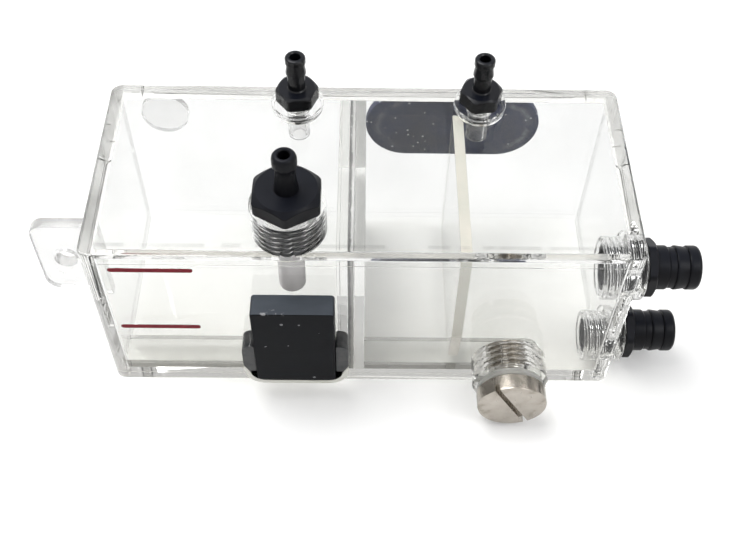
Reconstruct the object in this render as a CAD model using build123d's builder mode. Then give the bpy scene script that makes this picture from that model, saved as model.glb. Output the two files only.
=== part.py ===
from build123d import *
import os

# Two-chamber clear sheet water tank with hose fittings, level marks and a screwed drain plug.
# Origin: centre of the tank's underside. +Z is up, the front wall faces -Y, the hose side faces +X.
# All sizes are in millimetres.

os.makedirs("parts", exist_ok=True)

# Tank box
tank_length = 120
tank_depth = 52
tank_height = 48
sheet = 3
corner_radius = 2.5
edge_break = 0.3

# Partition between the chambers: two sheets with a film of cement between them
left_chamber_length = 51.2
partition_sheet = 2.5
partition_film_thickness = 1.2

# Baffle plate and floor strips; the baffle stands in the right chamber
baffle_from_partition = 21.5
baffle_thickness = 2.5
baffle_back_gap = 4.6
baffle_cut_depth = 2
baffle_cut_height = 14.2
strip_width = 7.3
strip_height = 3
strip_end_gap = 14
strip_corner_radius = 3

# Clearances
cement_clearance = 0.05
thread_clearance = 0.05
wall_clearance = 0.1
cut_overrun = 1

# Mounting ear on the left wall
ear_projection = 13
ear_height = 22.2
ear_thickness = 3
ear_front_setback = 10
ear_corner_radius = 3.5
ear_hole_radius = 2.25

# Lid ports
front_collar_radius = 8.1
front_collar_height = 8.1
rear_collar_height = 1.2
gasket_thickness = 0.5
gasket_margin = 0.3
front_port_from_partition = 10
front_thread_radius = 6
front_thread_end_gap = 1
rear_left_port_from_partition = 9.9
rear_right_port_from_partition = 26.6
rear_collar_radius = 6.1
rear_thread_radius = 3

# Lid fittings
front_hex_flats = 14
front_hex_height = 3.8
front_hex_chamfer = 1.15
front_hex_turn = 30
small_hex_flats = 9
small_hex_height = 3.6
small_hex_chamfer = 0.7
small_hex_turn = 8
lid_barb_bore_radius = 1.25
front_barb_length = 9.8
front_barb_neck_radius = 2.1
front_barb_head_radius = 2.6
front_barb_root_flare = 0.5
front_barb_root_height = 0.8
front_barb_head_start = 6.3
front_barb_head_rise = 0.65
front_barb_head_fall = 0.9
front_barb_tip_radius = 0.5
rear_barb_length = 9.1
rear_barb_shank_radius = 2.0
rear_barb_ridge_radius = 2.35
rear_barb_first_ridge = 4.1
rear_barb_ridge_pitch = 3
rear_barb_ridge_count = 2
rear_barb_tip_radius = 0.6
nipple_clearance = 0.05

# Dip tubes under the lid fittings
front_tube_radius = 3
front_tube_wall = 0.9
front_tube_end = 31
front_nipple_length = 4
rear_tube_radius = 2.6
rear_tube_wall = 1
rear_tube_end = 37
rear_nipple_length = 3

# Side ports and their hose barbs
side_bushing_radius = 6.1
side_bushing_depth = 4.2
side_flange_radius = 7.4
side_flange_thickness = 2.3
side_thread_radius = 4.8
side_thread_end_inset = 0.6
side_upper_height = 34
side_hex_flats = 12
side_hex_height = 2.2
side_hex_chamfer = 0.6
side_hex_turn = 30
side_barb_bore_radius = 3.2
side_barb_length = 10
side_barb_shank_radius = 4.65
side_barb_ridge_radius = 5
side_barb_first_ridge = 4.3
side_barb_ridge_pitch = 2.8
side_barb_ridge_count = 2
side_barb_collar_length = 2.6
side_barb_tip_radius = 1

# Drain
drain_from_right = 25.4
drain_height = 9.2
drain_collar_radius = 8.8
drain_collar_length = 6.4
drain_thread_radius = 5
drain_thread_end_inset = 0.3
drain_seal_radius = 7.6
drain_seal_thickness = 2
drain_head_radius = 8
drain_head_thickness = 4.2
drain_head_chamfer = 0.4
drain_slot_width = 1.2
drain_slot_depth = 1.8
drain_slot_angle = -60

# Level marks, filled grooves in the front wall
mark_length = 18
mark_width = 1.35
mark_depth = 0.3
upper_mark_from_left = 14.9
upper_mark_below_lid = 2
lower_mark_from_left = 14.2
lower_mark_height = 22.2

# Level sensor block and its cradle on the front wall
sensor_from_partition = 9.5
sensor_width = 18.3
sensor_height = 26.4
sensor_thickness = 5.5
sensor_corner_radius = 0.9
sensor_edge_radius = 0.4
cradle_bottom = 5.7
cradle_rim = 2.9
cradle_height = 15.5
cradle_thickness = 4.6
cradle_corner_radius = 5
cradle_top_radius = 2.6

# Pad and blanking disc on the back wall
pad_from_partition = 21.2
pad_below_top = 12.5
pad_length = 42.5
pad_height = 20.3
pad_thickness = 2.2
disc_from_left = 11.4
disc_below_top = 10.1
disc_radius = 5.7
disc_thickness = 2.2

# Values that follow from the sizes above
half_length = tank_length / 2
half_depth = tank_depth / 2
inner_half_length = half_length - sheet
inner_half_depth = half_depth - sheet
lid_underside = tank_height - sheet
wall_height = lid_underside - sheet
left_chamber_end = -inner_half_length + left_chamber_length
partition_left_x = left_chamber_end + partition_sheet / 2
partition_right_x = partition_left_x + partition_sheet + partition_film_thickness
partition_film_x = (partition_left_x + partition_right_x) / 2
right_chamber_start = partition_right_x + partition_sheet / 2
strip_centre_y = -inner_half_depth + strip_width / 2
strip_right_length = inner_half_length - right_chamber_start - strip_end_gap
baffle_x = right_chamber_start + baffle_from_partition
front_port_x = left_chamber_end - front_port_from_partition
front_port_y = -half_depth + front_collar_radius
rear_port_y = half_depth - rear_collar_radius
rear_port_xs = {
    "rear_left": left_chamber_end - rear_left_port_from_partition,
    "rear_right": right_chamber_start + rear_right_port_from_partition,
}
side_port_y = -inner_half_depth + side_bushing_radius + wall_clearance
side_heights = {"upper": side_upper_height, "lower": sheet + side_bushing_radius + wall_clearance}
drain_x = half_length - drain_from_right
mark_centres = {
    "upper": (-half_length + upper_mark_from_left, lid_underside - upper_mark_below_lid),
    "lower": (-half_length + lower_mark_from_left, lower_mark_height),
}
sensor_x = left_chamber_end - sensor_from_partition
pad_x = right_chamber_start + pad_from_partition
pad_height_centre = tank_height - pad_below_top
disc_x = -half_length + disc_from_left
disc_height_centre = tank_height - disc_below_top

# Faces that pieces are set out on: local x runs along the face, local y is up or towards the back
front_face = Plane(origin=(0, -half_depth, 0), x_dir=(1, 0, 0), z_dir=(0, -1, 0))
back_face = Plane(origin=(0, half_depth, 0), x_dir=(-1, 0, 0), z_dir=(0, 1, 0))
right_face = Plane(origin=(half_length, 0, 0), x_dir=(0, 1, 0), z_dir=(1, 0, 0))
lid_face = Plane.XY.offset(tank_height)


def write_piece(piece, label):
    """Label a finished piece and write its STEP file."""
    piece.part.label = label
    export_step(piece.part, f"parts/{label}.step")


def seat_on(face, x, y, rise=0):
    """Plane parallel to a face, centred on a point of it and raised outwards."""
    return Plane(origin=face.from_local_coords((x, y, rise)), x_dir=face.x_dir, z_dir=face.z_dir)


def section_of(seat):
    """Plane through a seat's axis: local x is the radius, local y runs outwards along the axis."""
    return Plane(origin=seat.origin, x_dir=seat.x_dir, z_dir=-seat.y_dir)


def make_ring(seat, outer_radius, inner_radius, length):
    """Plain ring or tube that starts on its seat and runs outwards."""
    with BuildPart() as ring:
        with BuildSketch(seat):
            Circle(outer_radius)
            Circle(inner_radius, mode=Mode.SUBTRACT)
        extrude(amount=length)
    return ring


def make_bushing(face, x, y, flange_radius, flange_height, body_radius, body_depth, bore_radius):
    """Flanged bushing: the flange lies on the face, the body passes in through the sheet."""
    seat = seat_on(face, x, y)
    with BuildPart() as bushing:
        with BuildSketch(seat):
            Circle(flange_radius)
        extrude(amount=flange_height)
        with BuildSketch(seat):
            Circle(body_radius)
        extrude(amount=-body_depth)
        with BuildSketch(seat.offset(flange_height)):
            Circle(bore_radius)
        extrude(amount=-(flange_height + body_depth), mode=Mode.SUBTRACT)
        rim = bushing.faces().sort_by(Axis(seat.origin, seat.z_dir))[-1].outer_wire()
        chamfer(rim.edges(), edge_break)
    return bushing


def ridged_barb(bore, shank, ridge, first_ridge, ridge_pitch, ridge_count, length, collar=0):
    """Half section of a hose barb with saw-tooth ridges, from the hexagon's top at height 0."""
    base = ridge if collar else shank
    points = [(bore, 0), (base, 0)]
    if collar:
        points += [(base, collar), (shank, collar + (ridge - shank))]
    for index in range(ridge_count):
        height = first_ridge + index * ridge_pitch
        points += [(shank, height), (ridge, height + (ridge - shank) / 2)]
    points += [(ridge, length), (bore, length)]
    return points


def make_fitting(seat, flats, hex_height, hex_chamfer, turn, outline, bore, thread, thread_length,
                 nipple=0, nipple_length=0, tip_radius=0):
    """Hose barb with a hexagon on its seat, a threaded shank below and a bore through all."""
    axis = Axis(seat.origin, seat.z_dir)
    corner = flats / 3**0.5
    with BuildPart() as fitting:
        with BuildSketch(seat):
            RegularPolygon(flats / 2, 6, major_radius=False, rotation=turn)
        extrude(amount=hex_height)
        with BuildSketch(section_of(seat)):
            with BuildLine():
                Polyline(
                    (0, 0), (corner, 0), (corner, hex_height - hex_chamfer),
                    (flats / 2 - hex_chamfer / 2, hex_height), (0, hex_height), close=True,
                )
            make_face()
        revolve(axis=axis, mode=Mode.INTERSECT)
        with BuildSketch(section_of(seat.offset(hex_height))):
            with BuildLine():
                Polyline(*outline, close=True)
            make_face()
        revolve(axis=axis)
        tip = fitting.faces().sort_by(axis)[-1].outer_wire()
        fillet(tip.edges(), tip_radius)
        with BuildSketch(seat):
            Circle(thread)
        extrude(amount=-thread_length)
        if nipple_length:
            with BuildSketch(seat.offset(-thread_length)):
                Circle(nipple)
            extrude(amount=-nipple_length)
        with BuildSketch(seat.offset(-thread_length - nipple_length)):
            Circle(bore)
        extrude(amount=thread_length + nipple_length + hex_height, mode=Mode.SUBTRACT)
    return fitting


# ---------------------------------------------------------------- Tank box

with BuildPart() as bottom_plate:
    with BuildSketch():
        RectangleRounded(tank_length, tank_depth, corner_radius)
    extrude(amount=sheet)
    chamfer(bottom_plate.faces().sort_by(Axis.Z)[0].outer_wire().edges(), edge_break)
write_piece(bottom_plate, "bottom_plate")

with BuildPart() as lid:
    with BuildSketch(Plane.XY.offset(lid_underside)):
        RectangleRounded(tank_length, tank_depth, corner_radius)
        with Locations((front_port_x, front_port_y)):
            Circle(front_thread_radius + thread_clearance, mode=Mode.SUBTRACT)
        with Locations(*[(x, rear_port_y) for x in rear_port_xs.values()]):
            Circle(rear_thread_radius + thread_clearance, mode=Mode.SUBTRACT)
    extrude(amount=sheet)
    chamfer(lid.faces().sort_by(Axis.Z)[-1].outer_wire().edges(), edge_break)
write_piece(lid, "lid")

with BuildPart() as front_wall:
    with BuildSketch(Plane.XY.offset(sheet)) as front_plan:
        with Locations((0, -half_depth + sheet / 2)):
            Rectangle(tank_length, sheet)
        fillet(front_plan.vertices().group_by(Axis.Y)[0], corner_radius)
    extrude(amount=wall_height)
    with BuildSketch(front_face):
        with Locations((drain_x, drain_height)):
            Circle(drain_thread_radius + thread_clearance)
    extrude(amount=-sheet, mode=Mode.SUBTRACT)
    with BuildSketch(front_face):
        with Locations(*mark_centres.values()):
            SlotOverall(mark_length, mark_width)
    extrude(amount=-mark_depth, mode=Mode.SUBTRACT)
write_piece(front_wall, "front_wall")

with BuildPart() as back_wall:
    with BuildSketch(Plane.XY.offset(sheet)) as back_plan:
        with Locations((0, half_depth - sheet / 2)):
            Rectangle(tank_length, sheet)
        fillet(back_plan.vertices().group_by(Axis.Y)[-1], corner_radius)
    extrude(amount=wall_height)
write_piece(back_wall, "back_wall")

with BuildPart() as left_wall:
    with BuildSketch(Plane.XY.offset(sheet)):
        with Locations((-half_length + sheet / 2, 0)):
            Rectangle(sheet, 2 * inner_half_depth)
    extrude(amount=wall_height)
write_piece(left_wall, "left_wall")

with BuildPart() as right_wall:
    with BuildSketch(Plane.XY.offset(sheet)):
        with Locations((half_length - sheet / 2, 0)):
            Rectangle(sheet, 2 * inner_half_depth)
    extrude(amount=wall_height)
    with BuildSketch(right_face):
        with Locations(*[(side_port_y, height) for height in side_heights.values()]):
            Circle(side_bushing_radius + cement_clearance)
    extrude(amount=-sheet, mode=Mode.SUBTRACT)
write_piece(right_wall, "right_wall")

# ---------------------------------------------------------------- Inside plates

for name, x, thickness in (
    ("partition_left", partition_left_x, partition_sheet),
    ("partition_film", partition_film_x, partition_film_thickness),
    ("partition_right", partition_right_x, partition_sheet),
):
    with BuildPart() as partition:
        with BuildSketch(Plane.XY.offset(sheet)):
            with Locations((x, 0)):
                Rectangle(thickness, 2 * inner_half_depth)
        extrude(amount=wall_height)
    write_piece(partition, name)

# The baffle is notched over the floor strip, and its front edge is cut back above the notch.
baffle_back_y = inner_half_depth - baffle_back_gap

with BuildPart() as baffle_plate:
    with BuildSketch(Plane.YZ.offset(baffle_x - baffle_thickness / 2)):
        with BuildLine():
            Polyline(
                (-inner_half_depth + strip_width, sheet),
                (baffle_back_y, sheet),
                (baffle_back_y, lid_underside),
                (-inner_half_depth, lid_underside),
                (-inner_half_depth, sheet + baffle_cut_height),
                (-inner_half_depth + baffle_cut_depth, sheet + strip_height),
                (-inner_half_depth + strip_width, sheet + strip_height),
                close=True,
            )
        make_face()
    extrude(amount=baffle_thickness)
write_piece(baffle_plate, "baffle_plate")

with BuildPart() as floor_strip_left:
    with BuildSketch(Plane.XY.offset(sheet)):
        with Locations((left_chamber_end - left_chamber_length / 2, strip_centre_y)):
            Rectangle(left_chamber_length, strip_width)
    extrude(amount=strip_height)
write_piece(floor_strip_left, "floor_strip_left")

with BuildPart() as floor_strip_right:
    with BuildSketch(Plane.XY.offset(sheet)) as strip_plan:
        with Locations((right_chamber_start + strip_right_length / 2, strip_centre_y)):
            Rectangle(strip_right_length, strip_width)
        fillet(strip_plan.vertices().group_by(Axis.X)[-1].sort_by(Axis.Y)[-1], strip_corner_radius)
    extrude(amount=strip_height)
write_piece(floor_strip_right, "floor_strip_right")

# ---------------------------------------------------------------- Mounting ear

ear_front_y = -half_depth + ear_front_setback
ear_plane = Plane(origin=(-half_length, ear_front_y, 0), x_dir=(-1, 0, 0), z_dir=(0, 1, 0))
ear_centre = (ear_projection / 2, lid_underside - ear_height / 2)

with BuildPart() as mounting_ear:
    with BuildSketch(ear_plane) as ear_outline:
        with Locations(ear_centre):
            Rectangle(ear_projection, ear_height)
        fillet(ear_outline.vertices().group_by(Axis.X)[-1], ear_corner_radius)
        with Locations(ear_centre):
            Circle(ear_hole_radius, mode=Mode.SUBTRACT)
    extrude(amount=ear_thickness)
write_piece(mounting_ear, "mounting_ear")

# ---------------------------------------------------------------- Lid ports and fittings

lid_port_collar_front = make_ring(
    seat_on(lid_face, front_port_x, front_port_y), front_collar_radius,
    front_thread_radius + thread_clearance, front_collar_height,
)
write_piece(lid_port_collar_front, "lid_port_collar_front")

front_seat = seat_on(lid_face, front_port_x, front_port_y, front_collar_height)
front_gasket = make_ring(
    front_seat, front_hex_flats / 2 - gasket_margin,
    front_thread_radius + thread_clearance, gasket_thickness,
)
write_piece(front_gasket, "gasket_front")

front_nipple_radius = front_tube_radius - front_tube_wall - nipple_clearance
front_barb_outline = [
    (lid_barb_bore_radius, 0),
    (front_barb_neck_radius + front_barb_root_flare, 0),
    (front_barb_neck_radius, front_barb_root_height),
    (front_barb_neck_radius, front_barb_head_start),
    (front_barb_head_radius, front_barb_head_start + front_barb_head_rise),
    (front_barb_head_radius, front_barb_length - front_barb_head_fall),
    (front_barb_neck_radius, front_barb_length),
    (lid_barb_bore_radius, front_barb_length),
]
front_thread_length = gasket_thickness + front_collar_height + sheet - front_thread_end_gap
fitting_front = make_fitting(
    front_seat.offset(gasket_thickness), front_hex_flats, front_hex_height, front_hex_chamfer,
    front_hex_turn, front_barb_outline, lid_barb_bore_radius, front_thread_radius, front_thread_length,
    front_nipple_radius, front_nipple_length, front_barb_tip_radius,
)
write_piece(fitting_front, "fitting_front")

front_tube_top = lid_underside + front_thread_end_gap
dip_tube_front = make_ring(
    seat_on(lid_face, front_port_x, front_port_y, front_tube_end - tank_height),
    front_tube_radius, front_tube_radius - front_tube_wall, front_tube_top - front_tube_end,
)
write_piece(dip_tube_front, "dip_tube_front")

rear_barb_outline = ridged_barb(
    lid_barb_bore_radius, rear_barb_shank_radius, rear_barb_ridge_radius,
    rear_barb_first_ridge, rear_barb_ridge_pitch, rear_barb_ridge_count, rear_barb_length,
)
rear_nipple_radius = rear_tube_radius - rear_tube_wall - nipple_clearance
rear_thread_length = gasket_thickness + rear_collar_height + sheet

for name, x in rear_port_xs.items():
    collar = make_ring(
        seat_on(lid_face, x, rear_port_y), rear_collar_radius,
        rear_thread_radius + thread_clearance, rear_collar_height,
    )
    write_piece(collar, f"lid_port_collar_{name}")
    rear_seat = seat_on(lid_face, x, rear_port_y, rear_collar_height)
    gasket = make_ring(
        rear_seat, small_hex_flats / 2 - gasket_margin,
        rear_thread_radius + thread_clearance, gasket_thickness,
    )
    write_piece(gasket, f"gasket_{name}")
    fitting = make_fitting(
        rear_seat.offset(gasket_thickness), small_hex_flats, small_hex_height, small_hex_chamfer,
        small_hex_turn, rear_barb_outline, lid_barb_bore_radius, rear_thread_radius,
        rear_thread_length, rear_nipple_radius, rear_nipple_length, rear_barb_tip_radius,
    )
    write_piece(fitting, f"fitting_{name}")
    tube = make_ring(
        seat_on(lid_face, x, rear_port_y, rear_tube_end - tank_height),
        rear_tube_radius, rear_tube_radius - rear_tube_wall, lid_underside - rear_tube_end,
    )
    write_piece(tube, f"dip_tube_{name}")

# ---------------------------------------------------------------- Side ports and hose barbs

side_body_depth = sheet + side_bushing_depth
side_barb_outline = ridged_barb(
    side_barb_bore_radius, side_barb_shank_radius, side_barb_ridge_radius,
    side_barb_first_ridge, side_barb_ridge_pitch, side_barb_ridge_count, side_barb_length,
    side_barb_collar_length,
)
side_thread_length = gasket_thickness + side_flange_thickness + side_body_depth - side_thread_end_inset

for name, height in side_heights.items():
    bushing = make_bushing(
        right_face, side_port_y, height,
        side_flange_radius, side_flange_thickness,
        side_bushing_radius, side_body_depth,
        side_thread_radius + thread_clearance,
    )
    write_piece(bushing, f"side_port_bushing_{name}")
    side_seat = seat_on(right_face, side_port_y, height, side_flange_thickness)
    gasket = make_ring(
        side_seat, side_hex_flats / 2 - gasket_margin,
        side_thread_radius + thread_clearance, gasket_thickness,
    )
    write_piece(gasket, f"gasket_side_{name}")
    fitting = make_fitting(
        side_seat.offset(gasket_thickness), side_hex_flats, side_hex_height, side_hex_chamfer,
        side_hex_turn, side_barb_outline, side_barb_bore_radius, side_thread_radius, side_thread_length,
        tip_radius=side_barb_tip_radius,
    )
    write_piece(fitting, f"hose_barb_{name}")

# ---------------------------------------------------------------- Drain

drain_collar = make_ring(
    seat_on(front_face, drain_x, drain_height), drain_collar_radius,
    drain_thread_radius + thread_clearance, drain_collar_length,
)
write_piece(drain_collar, "drain_collar")

drain_seat = seat_on(front_face, drain_x, drain_height, drain_collar_length)
drain_seal = make_ring(
    drain_seat, drain_seal_radius, drain_thread_radius + thread_clearance, drain_seal_thickness,
)
write_piece(drain_seal, "drain_seal")

drain_head_seat = drain_seat.offset(drain_seal_thickness)
drain_shank_length = drain_seal_thickness + drain_collar_length + sheet - drain_thread_end_inset

with BuildPart() as drain_screw:
    with BuildSketch(drain_head_seat):
        Circle(drain_head_radius)
    extrude(amount=drain_head_thickness)
    chamfer(drain_screw.edges().filter_by(GeomType.CIRCLE), drain_head_chamfer)
    with BuildSketch(drain_head_seat):
        Circle(drain_thread_radius)
    extrude(amount=-drain_shank_length)
    with BuildSketch(drain_head_seat.offset(drain_head_thickness)):
        Rectangle(2 * (drain_head_radius + cut_overrun), drain_slot_width, rotation=drain_slot_angle)
    extrude(amount=-drain_slot_depth, mode=Mode.SUBTRACT)
write_piece(drain_screw, "drain_screw")

# ---------------------------------------------------------------- Level marks

for name, centre in mark_centres.items():
    with BuildPart() as level_mark:
        with BuildSketch(front_face):
            with Locations(centre):
                SlotOverall(mark_length, mark_width)
        extrude(amount=-mark_depth)
    write_piece(level_mark, f"level_mark_{name}")

# ---------------------------------------------------------------- Level sensor and cradle

cradle_width = sensor_width + 2 * (cradle_rim + wall_clearance)
sensor_bottom = cradle_bottom + cradle_rim

with BuildPart() as sensor_cradle:
    with BuildSketch(front_face) as cradle_outline:
        with Locations((sensor_x, cradle_bottom + cradle_height / 2)):
            Rectangle(cradle_width, cradle_height)
        fillet(cradle_outline.vertices().group_by(Axis.Y)[0], cradle_corner_radius)
        fillet(cradle_outline.vertices().group_by(Axis.Y)[-1], cradle_top_radius)
        with Locations((sensor_x, sensor_bottom + cradle_height / 2)):
            Rectangle(sensor_width + 2 * wall_clearance, cradle_height, mode=Mode.SUBTRACT)
    extrude(amount=cradle_thickness)
write_piece(sensor_cradle, "sensor_cradle")

with BuildPart() as sensor_block:
    with BuildSketch(front_face):
        with Locations((sensor_x, sensor_bottom + sensor_height / 2)):
            RectangleRounded(sensor_width, sensor_height, sensor_corner_radius)
    extrude(amount=sensor_thickness)
    fillet(sensor_block.faces().sort_by(Axis.Y)[0].outer_wire().edges(), sensor_edge_radius)
write_piece(sensor_block, "sensor_block")

# ---------------------------------------------------------------- Back wall pad and blanking disc

with BuildPart() as rear_pad:
    with BuildSketch(back_face):
        with Locations((-pad_x, pad_height_centre)):
            SlotOverall(pad_length, pad_height)
    extrude(amount=pad_thickness)
write_piece(rear_pad, "rear_pad")

with BuildPart() as blanking_disc:
    with BuildSketch(back_face):
        with Locations((-disc_x, disc_height_centre)):
            Circle(disc_radius)
    extrude(amount=disc_thickness)
write_piece(blanking_disc, "blanking_disc")
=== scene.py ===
"""Clear two-chamber water tank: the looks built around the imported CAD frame.

Blender units are metres. Shapes are written in millimetres and scaled by MM where a mesh is made.
"""

import math

import bmesh
import bpy
from mathutils import Matrix, Vector


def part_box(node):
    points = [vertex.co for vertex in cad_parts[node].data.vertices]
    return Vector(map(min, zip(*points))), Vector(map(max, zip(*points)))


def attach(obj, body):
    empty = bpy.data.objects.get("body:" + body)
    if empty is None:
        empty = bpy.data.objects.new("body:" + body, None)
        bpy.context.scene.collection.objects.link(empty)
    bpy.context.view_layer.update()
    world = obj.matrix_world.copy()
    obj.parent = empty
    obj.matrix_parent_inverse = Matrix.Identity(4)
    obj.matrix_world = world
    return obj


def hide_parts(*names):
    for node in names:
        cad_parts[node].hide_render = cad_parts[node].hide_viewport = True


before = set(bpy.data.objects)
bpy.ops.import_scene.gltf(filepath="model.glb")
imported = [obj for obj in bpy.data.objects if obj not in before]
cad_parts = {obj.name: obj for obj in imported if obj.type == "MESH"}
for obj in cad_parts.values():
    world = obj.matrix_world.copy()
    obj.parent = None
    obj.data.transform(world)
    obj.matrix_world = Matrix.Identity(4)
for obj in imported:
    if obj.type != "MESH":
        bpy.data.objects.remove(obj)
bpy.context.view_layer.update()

MM = 0.001
GAP = 0.02           # air left between two pieces that touch, so that no two surfaces coincide
TURN = 2 * math.pi
X, Y, Z = Vector((1, 0, 0)), Vector((0, 1, 0)), Vector((0, 0, 1))


# ------ Places taken from the frame

def corners(node):
    """Lowest and highest corner of a CAD node, in millimetres."""
    low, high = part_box(node)
    return low / MM, high / MM


def placed(origin, x_dir, z_dir):
    """Matrix that puts local Z along z_dir and local X along x_dir, with its origin in millimetres."""
    y_dir = z_dir.cross(x_dir)
    rotation = Matrix((x_dir, y_dir, z_dir)).transposed().to_4x4()
    return Matrix.Translation(Vector(origin)) @ rotation


def facing_front(y):
    """Upright plane at one depth: local x is the world's x, local y is up and local z comes forward."""
    return placed((0, y, 0), X, -Y)


tank_low = corners("bottom_plate")[0]
tank_high = corners("lid")[1]
floor_top = corners("bottom_plate")[1].z
lid_under = corners("lid")[0].z
sheet = floor_top - tank_low.z
inner_front = corners("front_wall")[0].y + sheet
inner_back = corners("back_wall")[1].y - sheet
inner_left = corners("left_wall")[1].x
inner_right = corners("right_wall")[0].x
seal_thickness = corners("gasket_front")[1].z - corners("gasket_front")[0].z


# ------ Mesh tools

MITRE_LIMIT = 0.3    # keeps the sharp corners of a shrunk outline from running away
EASE = 0.3           # share of an eased edge at which its middle row lies


def linked(name, data):
    """New object in the scene."""
    made = bpy.data.objects.new(name, data)
    bpy.context.scene.collection.objects.link(made)
    return made


def new_object(name, vertices, faces, matrix=None):
    """Object from vertices in millimetres."""
    mesh = bpy.data.meshes.new(name)
    matrix = matrix or Matrix.Identity(4)
    mesh.from_pydata([tuple((matrix @ Vector(v)) * MM) for v in vertices], [], faces)
    build = bmesh.new()
    build.from_mesh(mesh)
    bmesh.ops.recalc_face_normals(build, faces=build.faces)
    build.to_mesh(mesh)
    build.free()
    return linked(name, mesh)


def lofted(name, loops, matrix=None, ring=False):
    """Closed solid through loops with equal numbers of points.

    With ring=True the last loop joins the first; otherwise the first and last loops are capped."""
    vertices = [point for loop in loops for point in loop]
    size, count = len(loops[0]), len(loops)
    faces = []
    for loop in range(count if ring else count - 1):
        a, b = loop * size, (loop + 1) % count * size
        for step in range(size):
            after = (step + 1) % size
            faces.append((a + step, a + after, b + after, b + step))
    if not ring:
        faces.append(tuple(range(size))[::-1])
        faces.append(tuple((count - 1) * size + step for step in range(size)))
    return new_object(name, vertices, faces, matrix)


def spin(name, rows, matrix=None, segments=96, ring=False):
    """Closed solid of revolution, with a bore if ring=True.

    A row is (radius, height) or a function of the angle that gives both."""
    loops = []
    for row in rows:
        loop = []
        for step in range(segments):
            angle = TURN * step / segments
            radius, height = row(angle) if callable(row) else row
            loop.append((radius * math.cos(angle), radius * math.sin(angle), height))
        loops.append(loop)
    return lofted(name, loops, matrix, ring)


def thread_rows(root, crest, start, end, pitch, flat, run_out=0.6):
    """Rows of a helical thread that fades to the crest radius at both ends; flat is the share of
    the pitch that the flat crests and roots take up."""
    gain = 1 / (1 - flat)
    rows_per_turn = 12 if flat < 0.3 else 20     # steep flanks need more rows
    count = max(2, round(abs(end - start) / pitch * rows_per_turn))
    rows = []
    for index in range(count + 1):
        height = start + (end - start) * index / count
        fade = min(1, abs(height - start) / run_out, abs(end - height) / run_out)

        def row(angle, height=height, fade=fade):
            phase = (height / pitch - angle / TURN) % 1
            flank = min(1, max(0, (1 - abs(2 * phase - 1)) * gain - (gain - 1) / 2))
            return crest - flank * (crest - root) * fade, height
        rows.append(row)
    return rows


def rounded(*corner_list, steps=8):
    """Outline of a polygon whose corners are given as (x, y, radius)."""
    points = []
    count = len(corner_list)
    for index, (x, y, radius) in enumerate(corner_list):
        here = Vector((x, y))
        if radius <= 0:
            points.append((x, y))
            continue
        back = (Vector(corner_list[index - 1][:2]) - here).normalized()
        ahead = (Vector(corner_list[(index + 1) % count][:2]) - here).normalized()
        half = back.angle(ahead) / 2
        centre = here + (back + ahead).normalized() * radius / math.sin(half)
        start = here + back * radius / math.tan(half) - centre
        end = here + ahead * radius / math.tan(half) - centre
        sweep = start.angle_signed(end)
        for step in range(steps + 1):
            arm = start.copy()
            arm.rotate(Matrix.Rotation(-sweep * step / steps, 2))
            points.append(tuple(centre + arm))
    return points


def rectangle(low, high, radius, steps=8):
    """Outline of an upright rectangle with equal corner radii."""
    return rounded(
        (low[0], low[1], radius), (high[0], low[1], radius),
        (high[0], high[1], radius), (low[0], high[1], radius), steps=steps,
    )


def shrunk(outline, inset):
    """Outline moved inwards by an inset; the outline runs anticlockwise."""
    if not inset:
        return outline
    moved = []
    count = len(outline)
    for index in range(count):
        before = Vector(outline[index]) - Vector(outline[index - 1])
        after = Vector(outline[(index + 1) % count]) - Vector(outline[index])
        left, right = before.normalized().orthogonal(), after.normalized().orthogonal()
        mitre = (left + right).normalized()
        moved.append(tuple(Vector(outline[index]) + mitre * inset / max(mitre.dot(left), MITRE_LIMIT)))
    return moved


def plate(name, outline, low, high, edge=0.0, grooves=(), groove_depth=0.1, matrix=None):
    """Outline raised from one height to another, with eased edges and shallow grooves round it."""
    levels = [(low, edge)]
    if edge:
        levels += [(low + edge * EASE, edge * EASE), (low + edge, 0)]
    for height in sorted(grooves):
        levels += [(height - groove_depth, 0), (height, groove_depth), (height + groove_depth, 0)]
    if edge:
        levels += [(high - edge, 0), (high - edge * EASE, edge * EASE)]
    levels += [(high, edge)]
    loops = [[(x, y, height) for x, y in shrunk(outline, inset)] for height, inset in levels]
    return lofted(name, loops, matrix)


def front_plate(name, node, outline, edge, start=0.0):
    """Upright plate as thick as its CAD node, from an outline of (x, z) points."""
    low, high = corners(node)
    return plate(name, outline, start, high.y - low.y, edge, matrix=facing_front(high.y))


def filled_box(name, node, radius, steps, edge=0.0):
    """Block that fills a CAD node's box but for the gap round it."""
    low, high = corners(node)
    outline = rectangle((low.x + GAP, low.y + GAP), (high.x - GAP, high.y - GAP), radius, steps)
    return plate(name, outline, low.z + GAP, high.z - GAP, edge)


def apply_modifiers(piece):
    """Turn the piece's modifiers into its mesh."""
    bpy.context.view_layer.update()
    evaluated = piece.evaluated_get(bpy.context.evaluated_depsgraph_get())
    mesh = bpy.data.meshes.new_from_object(evaluated)
    piece.modifiers.clear()
    piece.data = mesh


def combine(operation, piece, *tools):
    """Exact boolean of a piece with each tool in turn; the tools are used up."""
    for tool in tools:
        modifier = piece.modifiers.new("combine", "BOOLEAN")
        modifier.operation = operation
        modifier.solver = "EXACT"
        modifier.object = tool
        apply_modifiers(piece)
        bpy.data.objects.remove(tool)


def smooth(piece, angle):
    """Shade smooth with flat faces kept flat, and sharp where an edge turns by more than an angle."""
    for polygon in piece.data.polygons:
        polygon.use_smooth = True
    piece.data.set_sharp_from_angle(angle=math.radians(angle))
    modifier = piece.modifiers.new("normals", "WEIGHTED_NORMAL")
    modifier.keep_sharp = True
    modifier.weight = 100
    apply_modifiers(piece)


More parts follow.
